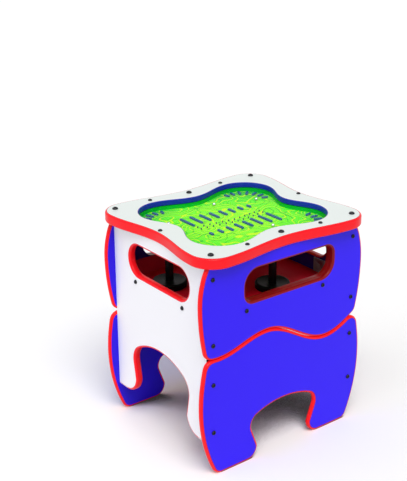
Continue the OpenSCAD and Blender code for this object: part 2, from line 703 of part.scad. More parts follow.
module front_screws() {
    color("black") at_front_screws(front_screw_z) button_head(screw_head_d, screw_d, panel_screw_len);
}
module back_screws() { turned(180) front_screws(); }

// Screws that hold the inner panels to the front and back panels
module liner_screws() {
    color("black") for (a = [0, 180]) turned(a) at_wall_screws(front_face, liner_screw_x)
        button_head(screw_head_d, screw_d, front_t + liner_screw_bite);
}

// ---- shelf ----

// Repeat a piece drawn at the front wall for the four hangers; its X is the place along the wall
module at_hangers() {
    for (s = [-1, 1]) for (a = [90, -90])
        turned(a) translate([s * side_hanger_y, -side_inner, 0]) children();
}

module shelf() {
    color("red") difference() {
        translate([0, 0, shelf_z - shelf_t / 2])
            cube([2 * (side_inner - shelf_gap), 2 * (inner_face - shelf_gap), shelf_t], center = true);
        at_hangers() translate([-hanger_w / 2 - shelf_gap, -past, shelf_z - shelf_t - past])
            cube([hanger_w + 2 * shelf_gap, past + hanger_t + shelf_gap, shelf_t + 2 * past]);
        at_hangers() translate([0, hanger_foot * 0.6, shelf_z - shelf_t - past])
            cylinder(d = small_screw_d + 2 * hole_clear, h = shelf_screw_bite + 2 * past);
    }
}

// Steel strap bent to an L: it hangs on the wall and carries the shelf on its foot
module shelf_hangers() {
    foot_z = shelf_z - shelf_t - hanger_t;
    foot_top = foot_z + hanger_t;
    strap_top = hanger_screw_z + hanger_end_rise;
    color("silver") at_hangers() difference() {
        translate([-hanger_w / 2, 0, 0]) rotate([90, 0, 90]) linear_extrude(hanger_w)
            polygon([[0, foot_z + 2], [0.6, foot_z + 0.6], [2, foot_z], [hanger_foot, foot_z],
                [hanger_foot, foot_top], [hanger_t, foot_top], [hanger_t, strap_top], [0, strap_top]]);
        translate([0, -past, hanger_screw_z]) rotate([-90, 0, 0])
            cylinder(d = screw_d + 2 * hole_clear, h = hanger_t + 2 * past);
        translate([0, hanger_foot * 0.6, foot_z - past])
            cylinder(d = small_screw_d + 2 * hole_clear, h = hanger_t + 2 * past);
    }
}

module hanger_screws() {
    color("black") for (a = [90, -90]) turned(a) at_wall_screws(side_face, side_hanger_y)
        button_head(screw_head_d, screw_d, side_t + hanger_t);
}

module shelf_screws() {
    color("dimgray") at_hangers() translate([0, hanger_foot * 0.6, shelf_z - shelf_t - hanger_t])
        rotate([180, 0, 0]) pan_head(small_head_d, small_screw_d, hanger_t + shelf_screw_bite);
}

// ---- wands ----

left_place = [-side_lane_x, inner_face * wand_rest[0]];
right_place = [side_lane_x, inner_face * wand_rest[1]];
front_place = [side_inner * wand_rest[2], -front_lane_y];
back_place = [side_inner * wand_rest[3], back_lane_y];
// Levels of a wand
glide_z = shelf_z + run_gap;
base_z = glide_z + glide_t;
base_top_z = base_z + wand_base_h;
head_top_z = board_under_z - head_gap;
head_z = head_top_z - head_h;

module glide_at(place) {
    color("dimgray") translate([place.x, place.y, glide_z]) cylinder(d = wand_base_d - 8, h = glide_t);
}

module base_at(place) {
    r = wand_base_d / 2;
    soft = 4;
    color("black") translate([place.x, place.y, base_z]) difference() {
        rotate_extrude($fn = 72) polygon(concat([[0, 0], [r - 1, 0], [r, 1]],
            [for (a = [0:22.5:90]) [r - soft + soft * cos(a), wand_base_h - soft + soft * sin(a)]],
            [[0, wand_base_h]]));
        translate([0, 0, wand_base_h - post_seat])
            cylinder(d = post_d + 2 * hole_clear, h = post_seat + past);
    }
}

module post_at(place) {
    color("black") translate([place.x, place.y, base_top_z - post_seat])
        cylinder(d = post_d, h = head_z - base_top_z + 2 * post_seat);
}

module head_at(place) {
    r = head_d / 2;
    color("black") translate([place.x, place.y, head_z]) difference() {
        rotate_extrude()
            polygon([[0, 0], [r - 5, 0], [r, 5], [r, head_h - 1], [r - 1, head_h], [0, head_h]]);
        translate([0, 0, -past]) cylinder(d = post_d + 2 * hole_clear, h = post_seat + past);
        translate([0, 0, head_h - magnet_t]) cylinder(d = magnet_d + 2 * hole_clear, h = magnet_t + past);
    }
}

module magnet_at(place) {
    color("silver") translate([place.x, place.y, head_top_z - magnet_t])
        cylinder(d = magnet_d, h = magnet_t);
}

module ball_at(place) {
    color("silver") translate([place.x, place.y, board_z + run_gap + ball_d / 2]) sphere(d = ball_d);
}

module left_wand_base() { base_at(left_place); }
module left_wand_glide() { glide_at(left_place); }
module left_wand_post() { post_at(left_place); }
module left_wand_head() { head_at(left_place); }
module left_wand_magnet() { magnet_at(left_place); }
module left_ball() { ball_at(left_place); }
module right_wand_base() { base_at(right_place); }
module right_wand_glide() { glide_at(right_place); }
module right_wand_post() { post_at(right_place); }
module right_wand_head() { head_at(right_place); }
module right_wand_magnet() { magnet_at(right_place); }
module right_ball() { ball_at(right_place); }
module front_wand_base() { base_at(front_place); }
module front_wand_glide() { glide_at(front_place); }
module front_wand_post() { post_at(front_place); }
module front_wand_head() { head_at(front_place); }
module front_wand_magnet() { magnet_at(front_place); }
module front_ball() { ball_at(front_place); }
module back_wand_base() { base_at(back_place); }
module back_wand_glide() { glide_at(back_place); }
module back_wand_post() { post_at(back_place); }
module back_wand_head() { head_at(back_place); }
module back_wand_magnet() { magnet_at(back_place); }
module back_ball() { ball_at(back_place); }

top_board();
tray_frame();
window();
play_board();
chime_bars();
chime_pins();
tray_screws();
top_bolts();
top_inserts();
top_screws();
front_upper_panel();
front_lower_panel();
back_upper_panel();
back_lower_panel();
left_panel();
right_panel();
front_liner();
back_liner();
front_screws();
back_screws();
liner_screws();
shelf();
shelf_hangers();
hanger_screws();
shelf_screws();
left_wand_base();
left_wand_glide();
left_wand_post();
left_wand_head();
left_wand_magnet();
right_wand_base();
right_wand_glide();
right_wand_post();
right_wand_head();
right_wand_magnet();
front_wand_base();
front_wand_glide();
front_wand_post();
front_wand_head();
front_wand_magnet();
back_wand_base();
back_wand_glide();
back_wand_post();
back_wand_head();
back_wand_magnet();
left_ball();
right_ball();
front_ball();
back_ball();
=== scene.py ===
import math

import bmesh
import bpy
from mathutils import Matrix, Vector
from mathutils.geometry import tessellate_polygon


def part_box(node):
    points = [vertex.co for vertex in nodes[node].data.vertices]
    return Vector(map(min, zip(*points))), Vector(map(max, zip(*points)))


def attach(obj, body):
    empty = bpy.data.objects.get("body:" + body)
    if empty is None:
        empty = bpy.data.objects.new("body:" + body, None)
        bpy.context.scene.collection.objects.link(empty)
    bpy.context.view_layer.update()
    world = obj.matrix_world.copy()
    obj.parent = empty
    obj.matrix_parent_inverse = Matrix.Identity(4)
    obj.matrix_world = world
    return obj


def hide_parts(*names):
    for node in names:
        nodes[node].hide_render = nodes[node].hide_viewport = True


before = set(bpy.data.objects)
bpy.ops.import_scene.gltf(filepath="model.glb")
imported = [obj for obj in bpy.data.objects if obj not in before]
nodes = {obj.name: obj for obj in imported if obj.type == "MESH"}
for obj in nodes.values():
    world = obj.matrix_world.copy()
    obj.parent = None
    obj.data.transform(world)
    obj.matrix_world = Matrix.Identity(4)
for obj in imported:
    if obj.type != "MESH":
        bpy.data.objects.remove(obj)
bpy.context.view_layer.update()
MM = 0.001

# Each side of the table: the direction to the right and up as seen from there, and outwards
SIDES = {
    "front": (Vector((1, 0, 0)), Vector((0, 0, 1)), Vector((0, -1, 0))),
    "back": (Vector((-1, 0, 0)), Vector((0, 0, 1)), Vector((0, 1, 0))),
    "left": (Vector((0, -1, 0)), Vector((0, 0, 1)), Vector((-1, 0, 0))),
    "right": (Vector((0, 1, 0)), Vector((0, 0, 1)), Vector((1, 0, 0))),
    "top": (Vector((1, 0, 0)), Vector((0, 1, 0)), Vector((0, 0, 1))),
}


# ---- finishes ----

def rgb(red, green, blue):
    """A colour from its display values, 0 to 255, by the sRGB curve."""
    def linear(value):
        value /= 255
        return value / 12.92 if value <= 0.04045 else ((value + 0.055) / 1.055) ** 2.4
    return (linear(red), linear(green), linear(blue), 1.0)


def add(tree, kind, values=None, **settings):
    """A new node with its settings; each named input is linked or set."""
    made = tree.nodes.new(kind)
    for key, value in settings.items():
        setattr(made, key, value)
    for key, value in (values or {}).items():
        if isinstance(value, bpy.types.NodeSocket):
            tree.links.new(value, made.inputs[key])
        else:
            made.inputs[key].default_value = value
    return made


def effect(name, inputs, output):
    """An empty node group with its inputs as (name, type, value) and one output as (name, type)."""
    tree = bpy.data.node_groups.new(name, "ShaderNodeTree")
    for label, kind, value in inputs:
        socket = tree.interface.new_socket(name=label, in_out="INPUT", socket_type=kind)
        socket.default_value = value
    tree.interface.new_socket(name=output[0], in_out="OUTPUT", socket_type=output[1])
    return tree, tree.nodes.new("NodeGroupInput").outputs, tree.nodes.new("NodeGroupOutput").inputs


def build_mottle():
    """Colour that drifts a little lighter and darker over the surface."""
    tree, given, out = effect("surface mottle", [
        ("Color", "NodeSocketColor", (0.5, 0.5, 0.5, 1)), ("Scale", "NodeSocketFloat", 12.0),
        ("Amount", "NodeSocketFloat", 0.05)], ("Color", "NodeSocketColor"))
    place = add(tree, "ShaderNodeTexCoord").outputs["Object"]
    cloud = add(tree, "ShaderNodeTexNoise", {"Vector": place, "Scale": given["Scale"], "Detail": 5.0})
    swing = add(tree, "ShaderNodeMath", {0: cloud.outputs["Fac"], 1: 0.5}, operation="SUBTRACT")
    gain = add(tree, "ShaderNodeMath", {0: swing.outputs[0], 1: given["Amount"], 2: 1.0},
               operation="MULTIPLY_ADD")
    shade = add(tree, "ShaderNodeVectorMath", {0: given["Color"], "Scale": gain.outputs[0]},
                operation="SCALE")
    tree.links.new(shade.outputs[0], out["Color"])
    return tree


SMUDGE_SCALE = 22.0
# Along X, Y and Z: the rubs run along X
HAIRLINE_SCALES = (60.0, 900.0, 700.0)
HAIRLINE_FROM, HAIRLINE_FULL = 0.62, 0.75


def build_handling():
    """Roughness with faint smudges and fine hairline rubs."""
    tree, given, out = effect("handling marks", [
        ("Roughness", "NodeSocketFloat", 0.3), ("Smudge", "NodeSocketFloat", 0.08),
        ("Rubs", "NodeSocketFloat", 0.04)], ("Roughness", "NodeSocketFloat"))
    place = add(tree, "ShaderNodeTexCoord").outputs["Object"]
    patch = add(tree, "ShaderNodeTexNoise", {"Vector": place, "Scale": SMUDGE_SCALE, "Detail": 3.0})
    patch_swing = add(tree, "ShaderNodeMath", {0: patch.outputs["Fac"], 1: 0.5}, operation="SUBTRACT")
    smudged = add(tree, "ShaderNodeMath", {
        0: patch_swing.outputs[0], 1: given["Smudge"], 2: given["Roughness"]}, operation="MULTIPLY_ADD")
    stretched = add(tree, "ShaderNodeVectorMath", {0: place, 1: HAIRLINE_SCALES}, operation="MULTIPLY")
    hair = add(tree, "ShaderNodeTexNoise", {"Vector": stretched.outputs[0], "Scale": 1.0, "Detail": 2.0})
    thin = add(tree, "ShaderNodeMapRange", {
        "Value": hair.outputs["Fac"], "From Min": HAIRLINE_FROM, "From Max": HAIRLINE_FULL})
    rubbed = add(tree, "ShaderNodeMath", {
        0: thin.outputs["Result"], 1: given["Rubs"], 2: smudged.outputs[0]}, operation="MULTIPLY_ADD")
    tree.links.new(rubbed.outputs[0], out["Roughness"])
    return tree


# The grit is this many times finer than the ripple
GRIT_FINENESS = 5.0


def build_peel():
    """Height of the shallow ripple left by rolled or sprayed finishes, with a finer grit in it."""
    tree, given, out = effect("surface grain", [
        ("Scale", "NodeSocketFloat", 600.0), ("Grit", "NodeSocketFloat", 0.3)],
        ("Height", "NodeSocketFloat"))
    place = add(tree, "ShaderNodeTexCoord").outputs["Object"]
    ripple = add(tree, "ShaderNodeTexNoise", {"Vector": place, "Scale": given["Scale"], "Detail": 1.0})
    fine = add(tree, "ShaderNodeMath", {0: given["Scale"], 1: GRIT_FINENESS}, operation="MULTIPLY")
    grit = add(tree, "ShaderNodeTexNoise", {"Vector": place, "Scale": fine.outputs[0], "Detail": 2.0})
    both = add(tree, "ShaderNodeMath", {
        0: grit.outputs["Fac"], 1: given["Grit"], 2: ripple.outputs["Fac"]}, operation="MULTIPLY_ADD")
    tree.links.new(both.outputs[0], out["Height"])
    return tree


MOTTLE, HANDLING, PEEL = build_mottle(), build_handling(), build_peel()


def finish(name, color, roughness, mottle, marks=(0.08, 0.03), grain=(600.0, 0.3, 0.02),
           paint=None, **sockets):
    """A material for one finish. Its colour is plain, or comes from paint(tree). Mottle is the
    drift's scale and amount, and marks are how much the smudges and the rubs show. Grain is the
    ripple's scale, the share of grit, and the depth in mm."""
    material = bpy.data.materials.new(name)
    material.use_nodes = True
    material.diffuse_color = color
    tree = material.node_tree
    shader = tree.nodes["Principled BSDF"]
    toned = add(tree, "ShaderNodeGroup", node_tree=MOTTLE)
    toned.inputs["Scale"].default_value, toned.inputs["Amount"].default_value = mottle
    if paint:
        tree.links.new(paint(tree), toned.inputs["Color"])
    else:
        toned.inputs["Color"].default_value = color
    tree.links.new(toned.outputs["Color"], shader.inputs["Base Color"])
    handled = add(tree, "ShaderNodeGroup", node_tree=HANDLING)
    handled.inputs["Roughness"].default_value = roughness
    handled.inputs["Smudge"].default_value, handled.inputs["Rubs"].default_value = marks
    tree.links.new(handled.outputs["Roughness"], shader.inputs["Roughness"])
    scale, grit, depth = grain
    rippled = add(tree, "ShaderNodeGroup", node_tree=PEEL)
    rippled.inputs["Scale"].default_value, rippled.inputs["Grit"].default_value = scale, grit
    bump = add(tree, "ShaderNodeBump", {
        "Height": rippled.outputs["Height"], "Distance": depth * MM, "Strength": 1.0})
    tree.links.new(bump.outputs["Normal"], shader.inputs["Normal"])
    for key, value in sockets.items():
        shader.inputs[key.replace("_", " ")].default_value = value
    return material


# Shares of the way to the rim per metre from the middle, along X, Y and Z
RIM_SHARES = (4.3, 4.8, 0.0)
# Tones of the board, by the share of the way to the rim
MIDDLE_TONE = (0.3, rgb(146, 255, 36))
FIELD_TONE = (0.7, rgb(98, 248, 30))
RIM_TONE = (1.0, rgb(26, 186, 46))
# Printed lines, those below first: how fast they wind, how many there are, and their ink
BOARD_LINES = ((14.0, 10.0, rgb(34, 200, 40)), (11.0, 16.0, rgb(232, 255, 16)))
# A line is inked up to the first share of the space between two lines, and fades to the second
LINE_CORE, LINE_END = 0.04, 0.12
LINE_INK = 0.75


def printed_board(tree):
    """Lime in the middle that deepens to green at the rim, with fine flowing lines."""
    place = add(tree, "ShaderNodeTexCoord").outputs["Object"]
    shares = add(tree, "ShaderNodeVectorMath", {0: place, 1: RIM_SHARES}, operation="MULTIPLY")
    reach = add(tree, "ShaderNodeVectorMath", {0: shares.outputs[0]}, operation="LENGTH")
    fade = add(tree, "ShaderNodeValToRGB", {"Fac": reach.outputs["Value"]})
    ramp = fade.color_ramp
    ramp.elements[0].position, ramp.elements[0].color = MIDDLE_TONE
    ramp.elements[1].position, ramp.elements[1].color = RIM_TONE
    ramp.elements.new(FIELD_TONE[0]).color = FIELD_TONE[1]
    shade = fade.outputs["Color"]
    for scale, lines, ink in BOARD_LINES:
        drift = add(tree, "ShaderNodeTexNoise", {"Vector": place, "Scale": scale, "Detail": 1.0})
        bands = add(tree, "ShaderNodeMath", {0: drift.outputs["Fac"], 1: lines}, operation="MULTIPLY")
        saw = add(tree, "ShaderNodeMath", {0: bands.outputs[0], 1: 0.5}, operation="PINGPONG")
        line = add(tree, "ShaderNodeMapRange", {
            "Value": saw.outputs[0], "From Min": LINE_CORE, "From Max": LINE_END,
            "To Min": LINE_INK, "To Max": 0.0})
        mix = add(tree, "ShaderNodeMix", {"Factor": line.outputs["Result"], 6: shade, 7: ink},
                  data_type="RGBA")
        shade = mix.outputs[2]
    return shade


# Along X, Y and Z: the brush lines run along Z
BRUSH_SCALES = (900.0, 900.0, 60.0)


def brushed(tree, color, depth=0.2):
    """Metal whose colour varies in fine parallel lines."""
    place = add(tree, "ShaderNodeTexCoord").outputs["Object"]
    drawn = add(tree, "ShaderNodeVectorMath", {0: place, 1: BRUSH_SCALES}, operation="MULTIPLY")
    lines = add(tree, "ShaderNodeTexNoise", {"Vector": drawn.outputs[0], "Scale": 1.0, "Detail": 3.0})
    tone = add(tree, "ShaderNodeMapRange", {
        "Value": lines.outputs["Fac"], "To Min": 1.0 - depth, "To Max": 1.0})
    shade = add(tree, "ShaderNodeVectorMath", {0: color[:3], "Scale": tone.outputs["Result"]},
                operation="SCALE")
    return shade.outputs[0]


def felt_fibres(tree):
    """Dark grey fibres over a darker ground."""
    place = add(tree, "ShaderNodeTexCoord").outputs["Object"]
    fibre = add(tree, "ShaderNodeTexNoise", {
        "Vector": place, "Scale": 900.0, "Detail": 6.0, "Distortion": 3.0})
    mix = add(tree, "ShaderNodeMix", {
        "Factor": fibre.outputs["Fac"], 6: rgb(30, 30, 32), 7: rgb(96, 96, 100)}, data_type="RGBA")
    return mix.outputs[2]


LAMINATE_GRAIN = (900.0, 0.25, 0.012)
PAINT_GRAIN = (420.0, 0.35, 0.05)
ENAMEL_GRAIN = (700.0, 0.3, 0.02)
PLATED_GRAIN = (1200.0, 0.5, 0.02)
STEEL_TONE = rgb(150, 153, 158)

purple = finish("purple laminate", rgb(46, 10, 243), 0.34, (7.0, 0.04), (0.08, 0.05), LAMINATE_GRAIN,
                Specular_IOR_Level=0.22)
purple_line = finish("purple laminate edge line", rgb(128, 14, 96), 0.4, (60.0, 0.2),
                     Specular_IOR_Level=0.3)
purple_inner = finish("purple inner face", rgb(40, 12, 220), 0.42, (14.0, 0.1), (0.1, 0.05),
                      LAMINATE_GRAIN, Specular_IOR_Level=0.2)
# Painted shade: the purple inner laminate darkened for the side panels' inner faces and the liners above
# their hand openings, where shade falls inside the box
navy_inner_painted_shade = finish("purple inner face darkened as painted shade", rgb(46, 14, 132), 0.42, (14.0, 0.12), (0.1, 0.05),
                    LAMINATE_GRAIN, Specular_IOR_Level=0.2)
white = finish("white laminate", rgb(243, 243, 249), 0.32, (5.0, 0.012), (0.03, 0.03), LAMINATE_GRAIN,
               Specular_IOR_Level=0.3)
white_top = finish("white top laminate", rgb(226, 233, 230), 0.32, (5.0, 0.015), (0.04, 0.04),
                   LAMINATE_GRAIN, Specular_IOR_Level=0.3)
# Painted highlight: a pink ring at the start of the red roundover next to the white laminate, standing
# in for the gloss there
white_line_painted_highlight = finish("white laminate edge line with painted highlight", rgb(224, 92, 112), 0.4, (60.0, 0.15),
                    Specular_IOR_Level=0.3)
top_line = finish("top board edge line", rgb(176, 28, 56), 0.45, (60.0, 0.15), Specular_IOR_Level=0.05)
red = finish("red edge paint", rgb(248, 20, 32), 0.3, (30.0, 0.05), (0.08, 0.04), PAINT_GRAIN,
             Specular_IOR_Level=0.15, Coat_Weight=0.06, Coat_Roughness=0.12)
# Painted shade: the red edge paint darkened for the rims of the front and back hand openings and of the
# liners, where shade falls inside the openings
red_rim_painted_shade = finish("red opening paint darkened as painted shade", rgb(128, 6, 14), 0.34, (30.0, 0.08), (0.08, 0.04),
                 PAINT_GRAIN, Specular_IOR_Level=0.2)
# Crimson on the liners' inner faces below the lower edges of their hand openings
red_inner = finish("crimson lower inner face", rgb(232, 26, 66), 0.4, (16.0, 0.1), (0.1, 0.04), PAINT_GRAIN,
                   Specular_IOR_Level=0.25)
red_shelf = finish("red shelf laminate", rgb(236, 8, 44), 0.5, (12.0, 0.06), (0.08, 0.05),
                   LAMINATE_GRAIN, Specular_IOR_Level=0.05)
blue_wall = finish("blue opening paint", rgb(24, 48, 176), 0.34, (30.0, 0.08), (0.1, 0.04), PAINT_GRAIN,
                   Specular_IOR_Level=0.25)
green_wall = finish("green opening paint", rgb(0, 186, 30), 0.36, (30.0, 0.08), (0.1, 0.04), PAINT_GRAIN,
                    Specular_IOR_Level=0.2)
under = finish("grey backing sheet", rgb(70, 70, 78), 0.6, (20.0, 0.12), (0.08, 0.03), PAINT_GRAIN)
lime = finish("lime printed board", rgb(96, 236, 34), 0.6, (30.0, 0.05), (0.06, 0.03),
              LAMINATE_GRAIN, printed_board, Specular_IOR_Level=0.0)
bar_blue = finish("blue bar enamel", rgb(16, 92, 138), 0.42, (120.0, 0.12), (0.06, 0.03), ENAMEL_GRAIN,
                  Specular_IOR_Level=0.05)
pin_teal = finish("teal pin enamel", rgb(0, 92, 84), 0.42, (150.0, 0.12), (0.06, 0.03), ENAMEL_GRAIN,
                  Specular_IOR_Level=0.05)
screw_black = finish("black screw lacquer", rgb(14, 13, 22), 0.36, (300.0, 0.4), (0.12, 0.08),
                     (1500.0, 0.5, 0.03), Specular_IOR_Level=0.3)
zinc = finish("zinc plated steel", rgb(168, 172, 176), 0.34, (200.0, 0.15), (0.14, 0.1), PLATED_GRAIN,
              Metallic=1.0)
hanger_steel = finish("brushed hanger steel", STEEL_TONE, 0.36, (40.0, 0.12), (0.12, 0.1),
                      (1100.0, 0.6, 0.02), lambda tree: brushed(tree, STEEL_TONE), Metallic=1.0)
brass = finish("insert brass", rgb(196, 158, 74), 0.32, (200.0, 0.2), (0.12, 0.08), PLATED_GRAIN,
               Metallic=1.0)
ball_steel = finish("polished ball steel", rgb(206, 208, 212), 0.09, (400.0, 0.08), (0.05, 0.05),
                    (2500.0, 0.3, 0.003), Metallic=1.0)
nickel = finish("magnet nickel", rgb(186, 184, 178), 0.2, (200.0, 0.1), (0.1, 0.08),
                (1600.0, 0.4, 0.006), Metallic=1.0)
felt = finish("felt", rgb(60, 60, 62), 0.95, (200.0, 0.2), (0.02, 0.0), (1400.0, 1.0, 0.5),
              felt_fibres, Sheen_Weight=0.4)
black_plastic = finish("moulded black plastic", rgb(6, 7, 7), 0.4, (60.0, 0.25), (0.12, 0.06),
                       (1300.0, 0.6, 0.04), Specular_IOR_Level=0.06)
post_black = finish("black lacquered post", rgb(9, 9, 11), 0.34, (80.0, 0.3), (0.1, 0.06),
                    (500.0, 0.3, 0.04), Specular_IOR_Level=0.25)


# Low, so that the sheet mirrors little of the room
SHEET_IOR = 1.06


def clear_sheet():
    """Clear acrylic: the light that falls on what is under it passes straight through."""
    material = bpy.data.materials.new("clear acrylic")
    material.use_nodes = True
    tree = material.node_tree
    shader = tree.nodes["Principled BSDF"]
    shader.inputs["Base Color"].default_value = (0.985, 1.0, 0.995, 1)
    shader.inputs["Transmission Weight"].default_value = 1.0
    shader.inputs["IOR"].default_value = SHEET_IOR
    handled = add(tree, "ShaderNodeGroup", node_tree=HANDLING)
    handled.inputs["Roughness"].default_value = 0.02
    handled.inputs["Smudge"].default_value, handled.inputs["Rubs"].default_value = 0.02, 0.03
    tree.links.new(handled.outputs["Roughness"], shader.inputs["Roughness"])
    clear = add(tree, "ShaderNodeBsdfTransparent", {"Color": (0.985, 0.99, 0.99, 1)})
    path = add(tree, "ShaderNodeLightPath")
    lighting = add(tree, "ShaderNodeMath", {
        0: path.outputs["Is Shadow Ray"], 1: path.outputs["Is Diffuse Ray"]}, operation="MAXIMUM")
    mix = add(tree, "ShaderNodeMixShader", {
        0: lighting.outputs[0], 1: shader.outputs[0], 2: clear.outputs[0]})
    tree.links.new(mix.outputs[0], tree.nodes["Material Output"].inputs["Surface"])
    return material


# ---- reading the frame's solids ----

WELD = 0.005 * MM
ON_PLANE = 0.03 * MM


def welded(node):
    """A copy of a solid's mesh with its corners joined."""
    mesh = bmesh.new()
    mesh.from_mesh(nodes[node].data)
    bmesh.ops.remove_doubles(mesh, verts=mesh.verts, dist=WELD)
    return mesh


def depths(node, side):
    """How far out from the middle a solid starts and ends on a side."""
    out = SIDES[side][2]
    reach = [v.co.dot(out) for v in nodes[node].data.vertices]
    return min(reach), max(reach)


def area(loop):
    """Area inside an outline, above zero where it runs counterclockwise."""
    return sum(a.x * b.y - b.x * a.y for a, b in zip(loop, loop[1:] + loop[:1])) / 2


def outlines(node, side, depth, shortest=60 * MM):
    """Outlines of a solid's flat face at a depth, largest first: the outer one runs
    counterclockwise and openings run clockwise. Screw holes are left out."""
    right, up, out = SIDES[side]
    mesh = welded(node)
    flat = {f for f in mesh.faces if all(abs(v.co.dot(out) - depth) < ON_PLANE for v in f.verts)}
    after = {}
    for edge in mesh.edges:
        if sum(f in flat for f in edge.link_faces) == 1:
            a, b = edge.verts
            after.setdefault(a, []).append(b)
            after.setdefault(b, []).append(a)
    loops = []
    while after:
        start = next(iter(after))
        loop, here = [], start
        while here in after:
            loop.append(here)
            ahead = [v for v in after.pop(here) if v in after]
            if not ahead:
                break
            here = ahead[0]
        points = [Vector((v.co.dot(right), v.co.dot(up))) for v in loop]
        around = sum((a - b).length for a, b in zip(points, points[1:] + points[:1]))
        if len(points) > 2 and around > shortest:
            loops.append(points)
    mesh.free()
    loops.sort(key=lambda loop: -abs(area(loop)))
    return [loop if (area(loop) > 0) == (k == 0) else loop[::-1] for k, loop in enumerate(loops)]


def turn_between(a, b):
    """Angle from one direction to another, above zero where it turns counterclockwise."""
    return math.atan2(a.x * b.y - a.y * b.x, a.dot(b))


def turned_by(v, angle):
    """A direction turned counterclockwise by an angle."""
    c, s = math.cos(angle), math.sin(angle)
    return Vector((v.x * c - v.y * s, v.x * s + v.y * c))


# A corner that turns less than this, in radians, lies on a straight run and is left out
LEAST_TURN = 0.0004
# A run this many times longer than both its neighbours is a straight one
LONG_RUN = 2.5


def smooth(points, step=3 * MM, sharp=math.radians(40)):
    """The smooth curve through an outline's corners. Long straight runs stay straight, and
    sharp corners stay sharp."""
    n = len(points)
    keep = [i for i in range(n) if abs(turn_between(
        points[i] - points[i - 1], points[(i + 1) % n] - points[i])) > LEAST_TURN]
    points = [points[i] for i in keep]
    n = len(points)
    runs = [points[(i + 1) % n] - points[i] for i in range(n)]
    size = [r.length for r in runs]
    turn = [turn_between(runs[i - 1], runs[i]) for i in range(n)]
    straight = [size[i] > LONG_RUN * size[i - 1] and size[i] > LONG_RUN * size[(i + 1) % n]
                or abs(turn[i]) > sharp and abs(turn[(i + 1) % n]) > sharp for i in range(n)]
    arrive, leave = [], []
    for i in range(n):
        if abs(turn[i]) > sharp or straight[i - 1] and straight[i]:
            share = None
        elif straight[i]:
            share = 1.0
        elif straight[i - 1]:
            share = 0.0
        else:
            before, behind = abs(turn[i - 1]), abs(turn[(i + 1) % n])
            before = 0.0 if before > sharp else before
            behind = 0.0 if behind > sharp else behind
            share = before / (before + behind) if before + behind > 0 else 0.5
        if share is None:
            arrive.append(runs[i - 1].normalized())
            leave.append(runs[i].normalized())
        else:
            along = turned_by(runs[i - 1].normalized(), turn[i] * share)
            arrive.append(along)
            leave.append(along)
    dense = []
    for i in range(n):
        a, b = points[i], points[(i + 1) % n]
        start, end = leave[i] * size[i], arrive[(i + 1) % n] * size[i]
        count = max(1, round(size[i] / step))
        for k in range(count):
            t = k / count
            # A cubic that starts along one direction and ends along the other
            dense.append(a * (2 * t ** 3 - 3 * t ** 2 + 1) + start * (t ** 3 - 2 * t ** 2 + t)
                         + b * (3 * t ** 2 - 2 * t ** 3) + end * (t ** 3 - t ** 2))
    return dense


# Keeps the mitre of a very sharp corner short
MITRE_LIMIT = 0.3


def outward(points):
    """Mitred step away from the material at each point of an outline."""
    n = len(points)
    steps = []
    for i in range(n):
        a = (points[i] - points[i - 1]).normalized()
        b = (points[(i + 1) % n] - points[i]).normalized()
        p, q = Vector((a.y, -a.x)), Vector((b.y, -b.x))
        steps.append((p + q) / max(1 + p.dot(q), MITRE_LIMIT))
    return steps


# ---- making meshes ----

def piece(name, mesh, materials, node, body="table"):
    """Turn a mesh into a piece that rides on a body and stands for a solid of the frame."""
    data = bpy.data.meshes.new(name)
    mesh.to_mesh(data)
    mesh.free()
    made = bpy.data.objects.new(name, data)
    bpy.context.scene.collection.objects.link(made)
    for material in materials:
        data.materials.append(material)
    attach(made, body)
    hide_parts(node)


ROUND_STEPS = 8
# Edges that turn more than this stay crisp
SQUARE = math.radians(35)


def edge_rings(outer, inner, outer_r, inner_r, start=0.0):
    """Rings of a board's edge as (depth, step outwards), from its outer to its inner face. The
    step at the outer face is start, and the radii round the two corners."""
    quarter = [math.pi / 2 * k / ROUND_STEPS for k in range(ROUND_STEPS + 1)]
    wall = start + outer_r
    rings = [(outer - outer_r * (1 - math.cos(a)), start + outer_r * math.sin(a)) for a in quarter]
    ends = [(inner + inner_r * (1 - math.cos(a)), wall - inner_r * (1 - math.sin(a)))
            for a in reversed(quarter)]
    return (rings if outer_r else [(outer, start)]) + (ends if inner_r else [(inner, wall)])


